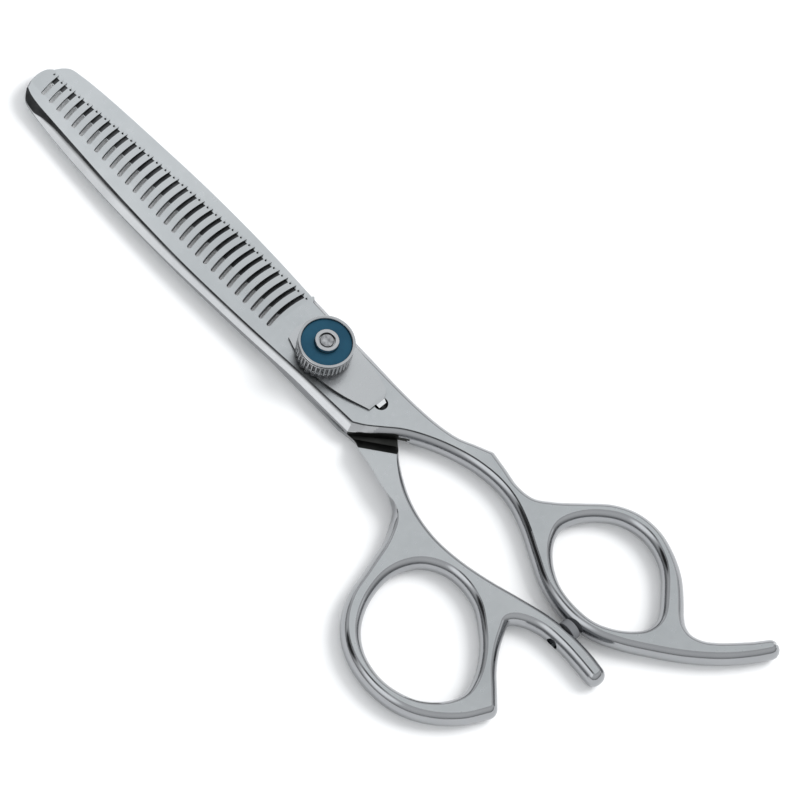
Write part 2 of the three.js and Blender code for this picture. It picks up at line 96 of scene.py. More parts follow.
TOOTHED_SPINE = [
    (-73.84, -4.13, 0.25, 0), (-73, -4.5, 0.8, 0), (-72, -4.78, 1.35, 0), (-70.3, -5.05, 1.55, 0),
    (-66, -5.35, 1.75, 0), (-60.3, -5.7, 1.93, 0), (-50.2, -6.3, 1.85, 0), (-40.2, -6.65, 1.7, 0),
    (-30.1, -6.8, 1.5, 0), (-20, -6.55, 1.4, 0), (-10, -6.1, 1.4, 0), (0, -5.45, 1.4, 0),
    (5, -5.2, 1.5, 0), (13.2, -4.85, 1.65, 0),
]
UPPER_RING = [
    (51.5, 10.3), (52.2, 13.8), (54.6, 17.6), (58.6, 20.8), (64, 21.95), (69.8, 20.35), (74.7, 16.3),
    (78.2, 11.7), (78.2, 7.9), (75.3, 4), (70.8, 1.2), (65.8, 0.5), (60.6, 1.2), (56, 3.6), (52.8, 6.9),
]

PLAIN_HEEL = [(-10.6, EDGE_Y, 0.3, 0), (-9.6, -1.4, 0.5, 0), (-8.9, -4, 0.6, 0), (-8.6, -6.75, 0.9, 0)]
PLAIN_NEAR = [
    (-8.6, -6.75, 0.9, 0), (0, -6.75, 1.3, 0), (12, -6.75, 1.3, 0), (15, -7.05, 1.3, 0),
    (18, -7.95, 1.3, 0), (22, -8.6, 1.3, 0), (25, -9.4, 1.3, 0), (28, -9.95, 1.3, 0.1),
    (30, -10.2, 1.3, 0.4), (31.5, -10.9, G, 0.7), (33, -12.3, G, 1), (34.3, -14.5, G, 1),
    (35.4, -17, G, 1), (36.4, -20.4, G, 1), (37.3, -23.5, G, 1), (38.6, -28, G, 1), (41, -32, G, 1),
    (44.5, -35.1, G, 1), (49, -36.95, G, 1), (54.5, -37.5, G, 1), (60, -36.4, G, 1),
    (64.5, -33.7, G, 1), (68.5, -29.2, G, 1), (70.8, -24.4, G, 1),
]
PLAIN_POCKET = [
    (70.4, -24, G, 1), (68.2, -22, G, 1), (65, -19.1, G, 1), (62.3, -15.9, G, 1), (60.3, -12.7, G, 1),
    (59.2, -10.4, G, 1), (59.7, -8.7, G, 1), (61.5, -7.1, G, 1), (65, -5.65, G, 1), (69.5, -5.2, G, 1),
    (74, -5.35, G, 1), (78.2, -5.7, G, 1),
]
PLAIN_FAR = [
    (78.2, -4.3, G, 1), (74, -3.85, G, 1), (69, -3.9, G, 1), (64, -4.55, G, 1), (58, -6.2, G, 1),
    (52, -8, G, 1), (46, -9.3, G, 1), (40, -9.8, G, 1), (34.5, -9.15, G, 1), (30, -7.75, G, 1),
    (26, -5.75, G, 1), (23.3, -3.7, G, 0.8), (21.9, -1.9, G, 0.4), (20.4, 0, G, 0), (18.8, 1.8, G, 0),
    (16.5, 4.2, G, 0), (13.5, 6.2, G, 0), (10, 6.9, G, 0), (0, 7.1, G, 0), (-10.6, 7.55, 1.3, 0),
    (-20.6, 7.9, 1.4, 0), (-30.6, 7.95, 1.5, 0), (-40.6, 7.7, 1.7, 0), (-50.6, 7.15, 1.8, 0),
    (-60.6, 6.5, 1.8, 0), (-65.6, 6.05, 1.6, 0), (-69.6, 5.5, 1.4, 0), (-71.9, 4.95, 1, 0),
    (-73.1, 3.75, 0.6, 0), (-73.9, 2, 0.3, 0), (-73.95, EDGE_Y, 0.1, 0),
]
LOWER_RING = [
    (38.6, -21.5), (39.2, -17), (41.3, -13.4), (45, -11), (49, -10.35), (54, -11.3), (58.5, -14.1),
    (62.5, -17.8), (65.5, -22.4), (66.5, -26.2), (65.3, -30.2), (61.8, -34.2), (57.5, -36.2),
    (53, -36.75), (47.8, -35.6), (43.5, -32.7), (40.3, -28),
]


def tooth_tip_y(x):
    t = x + 9.7
    corner = np.clip((-71.5 - x) / 3, 0, 1)
    return 6.8 + 0.0295 * t - 0.00076 * t * t + 0.9 * corner**2 * (3 - 2 * corner)


def spline(points, closed=False, step=0.4):
    """Centripetal Catmull-Rom through the points; every column is carried along."""
    p = np.array(points, float)
    count = len(p)
    out = []
    for i in range(count if closed else count - 1):
        p1, p2 = p[i], p[(i + 1) % count]
        if closed:
            p0, p3 = p[i - 1], p[(i + 2) % count]
        else:
            p0 = p[i - 1] if i > 0 else 2 * p1 - p2
            p3 = p[i + 2] if i + 2 < count else 2 * p2 - p1
        knots = [0.0]
        for a, b in ((p0, p1), (p1, p2), (p2, p3)):
            knots.append(knots[-1] + max(np.linalg.norm((b - a)[:2]) ** 0.5, 1e-4))
        t0, t1, t2, t3 = knots
        n = max(2, int(round(np.linalg.norm((p2 - p1)[:2]) / step)))
        for k in range(n):
            t = t1 + (t2 - t1) * k / n
            a1 = (t1 - t) / (t1 - t0) * p0 + (t - t0) / (t1 - t0) * p1
            a2 = (t2 - t) / (t2 - t1) * p1 + (t - t1) / (t2 - t1) * p2
            a3 = (t3 - t) / (t3 - t2) * p2 + (t - t2) / (t3 - t2) * p3
            b1 = (t2 - t) / (t2 - t0) * a1 + (t - t0) / (t2 - t0) * a2
            b2 = (t3 - t) / (t3 - t1) * a2 + (t - t1) / (t3 - t1) * a3
            out.append((t2 - t) / (t2 - t1) * b1 + (t - t1) / (t2 - t1) * b2)
    if not closed:
        out.append(p[-1])
    return np.array(out)


def loop_of(*segments):
    """One closed outline from smooth segments; a shared end point is kept once."""
    parts = []
    for seg in segments:
        s = spline(seg)
        if parts and np.linalg.norm(parts[-1][-1, :2] - s[0, :2]) < 1e-6:
            s = s[1:]
        parts.append(s)
    whole = np.concatenate(parts)
    if np.linalg.norm(whole[0, :2] - whole[-1, :2]) < 1e-6:
        whole = whole[:-1]
    return whole


def filleted(path):
    """Rounds the sharp corners of the handle part of a closed outline."""
    xy = path[:, :2]
    ahead = np.roll(xy, -1, 0) - xy
    angle = np.arctan2(ahead[:, 1], ahead[:, 0])
    turn = np.abs((angle - np.roll(angle, 1) + np.pi) % (2 * np.pi) - np.pi)
    corners = [i for i in range(len(path)) if turn[i] > 0.6 and path[i, 3] > 0.9]
    out, skip = [], set()
    arcs = {}
    for i in corners:
        reach = CORNER_RADIUS * math.tan(min(turn[i], 2.4) / 2)
        for side in (-1, 1):
            k = i
            while np.linalg.norm(path[(k + side) % len(path), :2] - path[i, :2]) < reach:
                k = (k + side) % len(path)
                skip.add(k)
        before = path[i] + unit(path[i - 1] - path[i]) * reach
        after = path[i] + unit(path[(i + 1) % len(path)] - path[i]) * reach
        arcs[i] = [(1 - t) ** 2 * before + 2 * t * (1 - t) * path[i] + t * t * after
                   for t in np.linspace(0, 1, 7)]
    for i, row in enumerate(path):
        if i in arcs:
            out.extend(arcs[i])
        elif i not in skip:
            out.append(row)
    return np.array(out)


def unit(row):
    flat = np.array([row[0], row[1], 0, 0])
    return flat / np.linalg.norm(flat)


def outward(xy):
    """Mitred normals of a closed outline, to the right of its direction."""
    ahead = np.roll(xy, -1, 0) - xy
    ahead /= np.linalg.norm(ahead, axis=1)[:, None]
    behind = np.roll(ahead, 1, 0)
    n1 = np.stack([behind[:, 1], -behind[:, 0]], 1)
    n2 = np.stack([ahead[:, 1], -ahead[:, 0]], 1)
    spread = 1 + (n1 * n2).sum(1)
    return (n1 + n2) / np.maximum(spread, 0.35)[:, None]


# ---------------------------------------------------------------- meshes
def object_from(name, verts, faces):
    mesh = bpy.data.meshes.new(name)
    mesh.from_pydata([tuple(float(c) * MM for c in v) for v in verts], [], [tuple(f) for f in faces])
    mesh.validate()
    obj = bpy.data.objects.new(name, mesh)
    bpy.context.scene.collection.objects.link(obj)
    bm = bmesh.new()
    bm.from_mesh(mesh)
    bmesh.ops.recalc_face_normals(bm, faces=bm.faces)
    bm.to_mesh(mesh)
    bm.free()
    return obj


ARC_DEGREES = (53.4, 50, 46, 38, 29, 19, 9, 0, -10, -22, -34, -46, -53.4)
ROWS = len(ARC_DEGREES) + 2


def handle_rows():
    """Offset and height of the rows of a handle's side: a fine chamfer, then a round flank."""
    angles = np.radians(ARC_DEGREES)
    off = FLANK_RADIUS * (np.cos(angles) - math.cos(math.radians(FLANK_ANGLE)))
    z = MID + FLANK_RADIUS * np.sin(angles)
    return (np.concatenate([[-0.12], off, [-0.12]]), np.concatenate([[THICK], z, [0]]))


def blade_ratio(x):
    return np.where(x < HEEL_X, 1 + (x - HEEL_X) * (1 - TIP_RATIO) / (HEEL_X - TIP_X), 1)


def chamfer_width(x):
    """The flat chamfer along the toothed blade's spine is wide only at the tip."""
    stops = [-73.9, -73, -71.5, -69.5, -68, -65, -58, -30, 13]
    return np.interp(x, stops, [0.15, 0.8, 1.4, 1.5, 1.0, 0.62, 0.46, 0.3, 0.27])


def chamfer_low_z(x):
    """Height of the chamfer's lower edge on the finished, thinned blade."""
    ratio = blade_ratio(x)
    return TOOTHED_BOTTOM + (THICK - CHAMFER_SLOPE * chamfer_width(x) / ratio - TOOTHED_BOTTOM) * ratio


def toothed_rows(path):
    """The chamfer, then the spine bevel and the wall."""
    x, y, width = path[:, 0], path[:, 1], path[:, 2]
    chamfer = np.where(y < -3.5, np.minimum(chamfer_width(x), width), np.minimum(0.2, width))
    ratio = blade_ratio(x)
    z_low = THICK - CHAMFER_SLOPE * chamfer / ratio
    z_foot = np.maximum(z_low - BEVEL_SLOPE * (width - chamfer) / ratio, TOOTHED_BOTTOM + 0.1)
    z_foot = np.where(y < -3.5, z_foot, np.minimum(THICK - BACK_DROP, z_low - 0.03))
    zero = np.zeros(len(x))
    off, z = [zero], [zero + THICK]
    for t in (0, 0.33, 0.66, 0.97):
        off.append(chamfer + (width - chamfer) * t)
        z.append(z_low + (z_foot - z_low) * t)
    for share in np.linspace(0.98, 0, ROWS - len(off)):
        off.append(width)
        z.append(share * z_foot)
    return np.array(off), np.array(z)


def plain_rows(path):
    """An upright wall, bevelled at the foot and leaning inwards on the near side of the neck."""
    x, y, width = path[:, 0], path[:, 1], path[:, 2]
    lean = np.interp(x, [12, 17, 25, 33], [0, UNDERCUT, UNDERCUT, 0]) * (y < -6)
    zero = np.zeros(len(width))
    off, z = [], []
    for height in np.linspace(THICK, 1.25, ROWS - 4):
        off.append(-lean * (THICK - height) / THICK)
        z.append(zero + height)
    for share, height in ((0.03, 1.17), (0.4, 0.75), (0.8, 0.3), (1, 0)):
        off.append(-np.maximum(lean * (THICK - height) / THICK, share * width))
        z.append(zero + height)
    return np.array(off), np.array(z)


def solid_of_outline(name, outline, ring, blade_rows):
    """Closed solid between the flat top and bottom of an outline with one ring hole."""
    hole = spline([(x, y, BULGE, 1) for x, y in ring], closed=True)
    round_off, round_z = handle_rows()
    verts = []
    loops = []
    for path in (outline, hole):
        normal = outward(path[:, :2])
        kind = path[:, 3]
        blade_off, blade_z = blade_rows(path)
        off = kind * round_off[:, None] + (1 - kind) * blade_off
        z = kind * round_z[:, None] + (1 - kind) * blade_z
        base = len(verts)
        for j in range(len(off)):
            xy = path[:, :2] + normal * off[j][:, None]
            verts.extend(np.column_stack([xy, z[j]]))
        loops.append((base, len(path), len(off)))
    faces = []
    for base, n, rows in loops:
        for j in range(rows - 1):
            for i in range(n):
                a = base + j * n + i
                b = base + j * n + (i + 1) % n
                faces.append((a, a + n, b + n, b))
    for last in (False, True):
        rings = []
        index = []
        for base, n, rows in loops:
            ids = [base + (rows - 1 if last else 0) * n + i for i in range(n)]
            rings.append([Vector((verts[i][0], verts[i][1], 0)) for i in ids])
            index.extend(ids)
        for tri in geometry.tessellate_polygon(rings):
            faces.append(tuple(index[t] for t in tri))
    return object_from(name, verts, faces)


def bridged(name, near_end, far_end):
    """Closed solid between two end loops that have the same number of points."""
    n = len(near_end)
    faces = [tuple(range(n)), tuple(range(n, 2 * n))]
    faces += [(i, (i + 1) % n, n + (i + 1) % n, n + i) for i in range(n)]
    return object_from(name, [*near_end, *far_end], faces)


def prism(name, points, z0, z1):
    return bridged(name, *[[(x, y, z) for x, y in points] for z in (z0, z1)])


def circle(radius, n=64, x=0.0, y=0.0):
    return [
        (x + radius * math.cos(2 * math.pi * i / n), y + radius * math.sin(2 * math.pi * i / n))
        for i in range(n)
    ]


def keyed(radius, flat):
    return [(x, max(-flat, min(flat, y))) for x, y in circle(radius)]


def joined(objects):
    for o in bpy.context.selected_objects:
        o.select_set(False)
    for o in objects:
        o.select_set(True)
    bpy.context.view_layer.objects.active = objects[0]
    bpy.ops.object.join()
    return objects[0]


def cut(target, cutter, operation="DIFFERENCE"):
    modifier = target.modifiers.new("cut", "BOOLEAN")
    modifier.operation = operation
    modifier.solver = "EXACT"
    modifier.object = cutter
    depsgraph = bpy.context.evaluated_depsgraph_get()
    mesh = bpy.data.meshes.new_from_object(target.evaluated_get(depsgraph))
    target.modifiers.clear()
    target.data = mesh
    bpy.data.objects.remove(cutter)
    return target


def moved(obj, matrix):
    obj.data.transform(matrix)
    return obj


def turned_over(obj):
    return moved(obj, Matrix.Translation((0, 0, THICK * MM)) @ Matrix.Rotation(math.pi, 4, "X"))


def shade(obj, angle=15, merge=2e-6):
    """Welds, smooths and marks the sharp edges."""
    mesh = obj.data
    bm = bmesh.new()
    bm.from_mesh(mesh)
    bmesh.ops.remove_doubles(bm, verts=bm.verts, dist=merge)
    bmesh.ops.dissolve_degenerate(bm, edges=bm.edges, dist=merge)
    for face in bm.faces:
        face.smooth = True
    for edge in bm.edges:
        edge.smooth = edge.is_manifold and edge.calc_face_angle(0) < math.radians(angle)
    bm.to_mesh(mesh)
    bm.free()
    return obj


def slice_at(bm, x):
    """Cuts the faces along one plane across the shears, without changing the shape."""
    bmesh.ops.bisect_plane(
        bm, geom=bm.verts[:] + bm.edges[:] + bm.faces[:], dist=1e-7,
        plane_co=(x * MM, 0, 0), plane_no=(1, 0, 0))


def split_at(obj, x):
    bm = bmesh.new()
    bm.from_mesh(obj.data)
    slice_at(bm, x)
    bm.to_mesh(obj.data)
    bm.free()
    return obj


def thin_blade(obj, inner_z):
    """Thins the blade evenly from the heel to the tip, towards its inner face."""
    bm = bmesh.new()
    bm.from_mesh(obj.data)
    slice_at(bm, HEEL_X)
    slope = (1 - TIP_RATIO) / (HEEL_X - TIP_X)
    for v in bm.verts:
        x = v.co.x / MM
        if x < HEEL_X:
            v.co.z = (inner_z + (v.co.z / MM - inner_z) * (1 + (x - HEEL_X) * slope)) * MM
    bm.to_mesh(obj.data)
    bm.free()
    return obj


# ---------------------------------------------------------------- cutters
RAMP_START, RAMP_END = Vector((17, -8)), Vector((22.9, -3.15))
RAMP_ACROSS = (RAMP_END - RAMP_START).normalized()
RAMP_BACK = Vector((-RAMP_ACROSS.y, RAMP_ACROSS.x))
RAMP_TOP, RAMP_RUN = 4.14, 2.45
RAMP_NORMAL = Vector((*(RAMP_BACK * (RAMP_TOP - PLAIN_TOP)), RAMP_RUN)).normalized()


def ramp_cutter(mirrored):
    """Everything above the ride face, up to the ramp at the neck."""
    middle = (RAMP_START + RAMP_END) / 2
    profile = [
        (-8.6, THICK), (-7, 4.585), (-5.5, 4.54), (-4, 4.46), (-2.5, 4.36), (-1.2, 4.27), (-0.25, 4.2),
        (0.05, RAMP_TOP), (0.05 + RAMP_RUN, PLAIN_TOP), (130, PLAIN_TOP), (130, 8), (-8.6, 8),
    ]
    ends = [
        [(*(middle + RAMP_BACK * s + RAMP_ACROSS * side), z) for s, z in profile] for side in (-80, 80)
    ]
    cutter = bridged("ramp", *ends)
    return turned_over(cutter) if mirrored else cutter


def tooth_face_cutter():
    """The ground face over the teeth, falling from the slot roots to the tooth tips."""
    root_tip = Vector((-74, -2.9, 3.38))
    root_heel = Vector((-10.2, -3.6, THICK))
    tip_heel = Vector((-9.8, 6.6, 3.05))
    along = (root_heel - root_tip).normalized()
    up = along.cross(tip_heel - root_heel).normalized()
    out = up.cross(along)
    corners = [(-80, 0), (0, 0), (0.4, 12), (-80, 12)]
    ends = [[root_heel + along * a + out * b + up * h for a, b in corners] for h in (0, 6)]
    return bridged("tooth_face", *ends)


def tooth_root_y(x):
    return -3.65 + 0.00065 * (x + 34) ** 2


def slot_outline(index):
    left = FIRST_SLOT_X + index * SLOT_PITCH
    root = tooth_root_y(left)
    right_side, left_side = [], []
    for i in range(13):
        y = root + (9 - root) * i / 12
        x = left + SLOT_ARC - math.sqrt(SLOT_ARC**2 - (y - 2.7) ** 2)
        right_side.append((x + SLOT_HALF, y))
        left_side.append((x - SLOT_HALF, y))
    cx = (right_side[0][0] + left_side[0][0]) / 2
    bottom = [
        (cx - SLOT_HALF * math.cos(a), root - SLOT_HALF * math.sin(a))
        for a in (math.pi * k / 8 for k in range(1, 8))
    ]
    return right_side + left_side[::-1] + bottom


def notch_outline(index):
    """A fine V in the tooth's tip that ends in a small round."""
    x = FIRST_SLOT_X + (index - 0.5) * SLOT_PITCH
    y = tooth_tip_y(x) - 0.62
    r = 0.23
    arc = [
        (x + r * math.cos(a), y + r * math.sin(a))
        for a in (math.radians(135 + 270 * k / 8) for k in range(9))
    ]
    neck = 0.07
    return arc + [(x + neck, y + r), (x + 0.42, y + 1.0), (x - 0.42, y + 1.0), (x - neck, y + r)]


# ---------------------------------------------------------------- the two halves
def toothed_half():
    tips = [(-9.4, tooth_tip_y(-9.7), 0.01, 0)]
    tips += [(x, tooth_tip_y(x), 0.01, 0) for x in np.linspace(-16, -72.8, 10)]
    tips += TOOTHED_TIP[:1]
    outline = filleted(loop_of(
        TOOTHED_INNER, TOOTHED_OUTER, TOOTHED_BACK, tips, TOOTHED_TIP, TOOTHED_SPINE))
    half = solid_of_outline("toothed_half_steel", outline, UPPER_RING, toothed_rows)
    thin_blade(half, TOOTHED_BOTTOM)
    cut(half, ramp_cutter(True))
    cut(half, tooth_face_cutter())
    cut(half, joined([prism("slot", slot_outline(i), 1, 6) for i in range(SLOT_COUNT)]))
    cut(half, joined([prism("notch", notch_outline(i), 1, 6) for i in range(SLOT_COUNT + 1)]))
    cut(half, prism("key", keyed(2.03, 1.63), 1, 6))
    cut(half, prism("recess", circle(WASHER_SEAT_RADIUS), 1, TOOTHED_BOTTOM + WASHER_SEAT_DEPTH))
    cut(half, prism("tab_hole", circle(TAB_HOLE_RADIUS, 40, TAB_HOLE_X, TAB_HOLE_Y), 3.0, 6))
    return shade(half)


def edge_grind():
    """The ground bevel under the plain blade's cutting edge."""
    top = PLAIN_TOP - 0.2
    profile = [(EDGE_Y - 3, -1), (EDGE_Y + 3.4, -1), (EDGE_Y + 3.4, 0), (EDGE_Y, top), (EDGE_Y - 3, top)]
    return bridged("grind", *[[(x, y, z) for y, z in profile] for x in (-79, HEEL_X - 2.8)])


def along_y(name, radius, y0, y1):
    """A round cutter on the bumper's axis."""
    ends = [[(BUMPER_X + dx, y, MID + dz) for dx, dz in circle(radius, 48)] for y in (y0, y1)]
    return bridged(name, *ends)


def plain_half():
    outline = filleted(loop_of(
        PLAIN_NEAR, PLAIN_POCKET, PLAIN_FAR, [PLAIN_FAR[-1], PLAIN_HEEL[0]], PLAIN_HEEL))
    half = solid_of_outline("plain_half_steel", outline, LOWER_RING, plain_rows)
    thin_blade(half, PLAIN_TOP)
    cut(half, ramp_cutter(False))
    cut(half, edge_grind())
    cut(half, prism("bore", circle(2.05), -1, 3))
    cut(half, prism("head", circle(4.2), -1, 1.25))
    cut(half, prism("washer", circle(WASHER_SEAT_RADIUS), PLAIN_TOP - WASHER_SEAT_DEPTH, 3))
    xs = np.linspace(-72.6, -11, 40)
    far_side = [(x, tooth_tip_y(x) - 0.38) for x in xs[::-1]]
    hollow = [(-11, EDGE_Y + 0.15), *far_side, (-72.6, EDGE_Y + 0.15)]
    cut(half, prism("hollow", hollow, HOLLOW_Z, 3))
    cut(half, along_y("seat", 2.09, -2.94, 0))
    cut(half, along_y("stem_bore", 1.2, -9, 0))
    # The cut at the neck lets the ride face beyond it take the painted shade.
    return shade(split_at(half, NECK_X))


# ---------------------------------------------------------------- turned pieces
def lathe(name, profile, n=96):
    """Solid of revolution; the [r, z] profile ends on the axis or closes on itself."""
    verts, rings = [], []
    for r, z in profile:
        if r < 1e-6:
            rings.append([len(verts)])
            verts.append((0, 0, z))
        else:
            rings.append(list(range(len(verts), len(verts) + n)))
            verts.extend((x, y, z) for x, y in circle(r, n))
    faces = []
    pairs = list(zip(rings, rings[1:]))
    if len(rings[0]) > 1:
        pairs.append((rings[-1], rings[0]))
    for a, b in pairs:
        for i in range(n):
            k = (i + 1) % n
            if len(a) == 1 and len(b) == 1:
                continue
            if len(a) == 1:
                faces.append((a[0], b[i], b[k]))
            elif len(b) == 1:
                faces.append((a[i], b[0], a[k]))
            else:
                faces.append((a[i], b[i], b[k], a[k]))
    return object_from(name, verts, faces)


def rounded(points, radius=0.08, steps=3):
    """Rounds every corner of an [r, z] profile that lies off the axis."""
    out = []
    n = len(points)
    for i, (r, z) in enumerate(points):
        if r < 1e-6:
            out.append((r, z))
            continue
        p = np.array((r, z), float)
        a = np.array(points[i - 1], float) - p
        b = np.array(points[(i + 1) % n], float) - p
        la, lb = np.linalg.norm(a), np.linalg.norm(b)
        d = min(radius, la / 2.2, lb / 2.2)
        pa, pb = p + a / la * d, p + b / lb * d
        for k in range(steps + 1):
            t = k / steps
            q = (1 - t) ** 2 * pa + 2 * t * (1 - t) * p + t * t * pb
            out.append((q[0], q[1]))
    return out


def dial_wall():
    """The dial's metal shell: knurled wall, plain collar and the click teeth under it."""
    n = 480
    knurls, clicks = 40, 24
    rows = [
        (4.72, 9.3, 0), (4.72, 10.1, 0), (4.80, 10.2, 0), (5.17, 10.2, 0), (5.26, 10.13, 0),
        (5.26, 10.02, 0), (5.0, 9.93, 0), (5.0, 9.77, 0), (5.26, 9.68, 0), (5.26, 9.4, 0),
        (5.25, 9.25, 1), (5.25, 8.2, 1), (5.25, 6.8, 1), (5.16, 6.5, 1), (4.9, 6.4, 0),
        (4.9, 6.3, 0), (5.12, 6.15, 3), (5.14, 5.8, 3), (5.1, 5.3, 3), (3.4, 5.3, 2), (3.4, 5.7, 0),
        (2.22, 5.7, 0), (2.22, 9.3, 0),
    ]
    verts = []
    for r, z, mode in rows:
        for i in range(n):
            a = 2 * math.pi * i / n
            radius, height = r, z
            if mode == 1:
                wave = abs(((a * knurls / (2 * math.pi)) % 1) * 2 - 1)
                radius = r - 0.34 * min(max(1.6 - 2.2 * wave, 0), 1)
            elif mode == 3:
                radius = r - 0.34 * (0.5 + 0.5 * math.cos(a * clicks)) ** 2
            elif mode == 2:
                height = z + 0.16 * (0.5 + 0.5 * math.cos(a * clicks)) ** 2
            verts.append((radius * math.cos(a), radius * math.sin(a), height))
    faces = []
    count = len(rows)
    for j in range(count):
        k = (j + 1) % count
        for i in range(n):
            m = (i + 1) % n
            faces.append((j * n + i, k * n + i, k * n + m, j * n + m))
    return shade(object_from("dial_shell", verts, faces), 24)


# ---------------------------------------------------------------- leaf spring
LEAF_REST_Z, LEAF_ARCH = 4.62, 0.42
LEAF_BEND_X = 13.35
LEAF = [
    (-6.4, -2.55), (-2, -3.9), (3, -4.15), (8, -3.15), (13.4, -1.1),
]
LEAF_TOP = [(9.5, 4.8), (3, 5.4), (-3, 4.6), (-6.8, 2.5)]


def leaf_spring():
    """Arched plate, 0.4 mm thick, with a tab bent down into the hole in the toothed half."""
    edge = [tuple(p) for p in spline(LEAF)]
    edge += [(13.4, 0.55), (13.95, 0.75), (13.95, 2.45), (13.4, 2.65), (13.15, 3.3), (12.4, 4.1)]
    edge += [tuple(p) for p in spline(LEAF_TOP)] + [(-7, 0)]
    plate = prism("leaf_plate", edge, 0, 0.4)
    bm = bmesh.new()
    bm.from_mesh(plate.data)
    for k in range(1, 44):
        slice_at(bm, -7 + k * 0.5)
    tab = 0.55
    for v in bm.verts:
        x, z = v.co.x / MM, v.co.z / MM
        t = min(max((x + 7) / 20.4, 0), 1)
        lift = LEAF_REST_Z + LEAF_ARCH * math.sin(math.pi * t)
        if x > LEAF_BEND_X:
            t = (x - LEAF_BEND_X) / 0.6
            v.co.x = (LEAF_BEND_X + 0.2 * z + 0.9 * t) * MM
            v.co.z = (LEAF_REST_Z + z - tab * t) * MM
        else:
            v.co.z = (lift + z) * MM
    bm.to_mesh(plate.data)
    bm.free()
    cut(plate, prism("hole", circle(2.05), 4, 7))
    return shade(plate, 30)


# ---------------------------------------------------------------- materials
def new_material(name):
    material = bpy.data.materials.new(name)
    material.use_nodes = True
    tree = material.node_tree
    tree.nodes.clear()
    output = tree.nodes.new("ShaderNodeOutputMaterial")
    shader = tree.nodes.new("ShaderNodeBsdfPrincipled")
    tree.links.new(shader.outputs[0], output.inputs["Surface"])
    return material, tree, shader


def noise(tree, scale, stretch=(1, 1, 1), detail=4, rough=0.55):
    coords = tree.nodes.new("ShaderNodeTexCoord")
    mapping = tree.nodes.new("ShaderNodeMapping")
    mapping.inputs["Scale"].default_value = stretch
    texture = tree.nodes.new("ShaderNodeTexNoise")
    texture.inputs["Scale"].default_value = scale
    texture.inputs["Detail"].default_value = detail
    texture.inputs["Roughness"].default_value = rough
    tree.links.new(coords.outputs["Object"], mapping.inputs["Vector"])
    tree.links.new(mapping.outputs[0], texture.inputs["Vector"])
    return texture.outputs[0]


def spread(tree, value, low, high, start=0.3, end=0.7):
    node = tree.nodes.new("ShaderNodeMapRange")
    node.inputs["From Min"].default_value = start
    node.inputs["From Max"].default_value = end
    node.inputs["To Min"].default_value = low
    node.inputs["To Max"].default_value = high
    tree.links.new(value, node.inputs["Value"])
    return node.outputs[0]


def tint(tree, value, dark, light):
    node = tree.nodes.new("ShaderNodeMix")
    node.data_type = "RGBA"
    node.inputs["A"].default_value = (*dark, 1)
    node.inputs["B"].default_value = (*light, 1)
    tree.links.new(value, node.inputs["Factor"])
    return node.outputs["Result"]


def bump(tree, shader, value, strength, distance):
    node = tree.nodes.new("ShaderNodeBump")
    node.inputs["Strength"].default_value = strength
    node.inputs["Distance"].default_value = distance
    tree.links.new(value, node.inputs["Height"])
    tree.links.new(node.outputs[0], shader.inputs["Normal"])


def towards_tip(tree, colour, at_tip, at_rings):
    """Scales a colour along the shears, from the blade tips to the rings."""
    coords = tree.nodes.new("ShaderNodeTexCoord")
    split = tree.nodes.new("ShaderNodeSeparateXYZ")
    tree.links.new(coords.outputs["Object"], split.inputs[0])
    level = spread(tree, split.outputs["X"], at_tip, at_rings, -60 * MM, 60 * MM)
    scale = tree.nodes.new("ShaderNodeVectorMath")
    scale.operation = "SCALE"
    tree.links.new(colour, scale.inputs[0])
    tree.links.new(level, scale.inputs["Scale"])
    return scale.outputs[0]


def steel(name, dark, light, rough, stretch, grain=900, strength=0.25, at_tip=1.0, at_rings=1.0,
          patch=55):
    """Ground steel: fine grain along one direction, with slow changes in gloss."""
    material, tree, shader = new_material(name)
    fine = noise(tree, grain, stretch, 6)
    slow = noise(tree, patch, (1, 1, 1), 3)
    shader.inputs["Metallic"].default_value = 1
    colour = towards_tip(tree, tint(tree, spread(tree, slow, 0, 1), dark, light), at_tip, at_rings)
    tree.links.new(colour, shader.inputs["Base Color"])
    tree.links.new(spread(tree, fine, rough[0], rough[1]), shader.inputs["Roughness"])
    bump(tree, shader, fine, strength, 0.000012)
    return material


def plastic(name, dark, light, rough):
    material, tree, shader = new_material(name)
    fine = noise(tree, 2600, (1, 1, 1), 4)
    slow = noise(tree, 240, (1, 1, 1), 3)
    tree.links.new(tint(tree, spread(tree, slow, 0, 1), dark, light), shader.inputs["Base Color"])
    tree.links.new(spread(tree, fine, rough[0], rough[1]), shader.inputs["Roughness"])
    bump(tree, shader, fine, 0.3, 0.00002)
    return material


SATIN = steel(
    "satin_steel", (0.435, 0.457, 0.468), (0.505, 0.525, 0.535),
    (0.26, 0.36), (1, 1, 1), 900, 0.04, 1.24, 0.94)
# Same steel as the flats with lower roughness; its darker base colour is a painted darker reflection on
# the flanks.
POLISHED_PAINTED_DARK = steel(
    "polished_steel_painted_dark", (0.31, 0.317, 0.328), (0.36, 0.367, 0.378),
    (0.08, 0.15), (1, 1, 1), 500, 0.04)
# Same steel with a lighter base colour: a painted highlight on the spine's ground bevel.
BEVEL_HIGHLIGHT = steel(
    "bevel_painted_highlight_steel", (0.4, 0.407, 0.417), (0.475, 0.482, 0.49),
    (0.12, 0.2), (1, 1, 1), 500, 0.04)
# Painted shade in the hollow, the slots, the tab hole and inside the bush's lip; painted dark reflection
# on the spine's chamfer.
SHADED = steel(
    "shaded_steel", (0.045, 0.047, 0.048), (0.12, 0.123, 0.127),
    (0.3, 0.45), (0.3, 2, 1), 900, 0.1, patch=260)
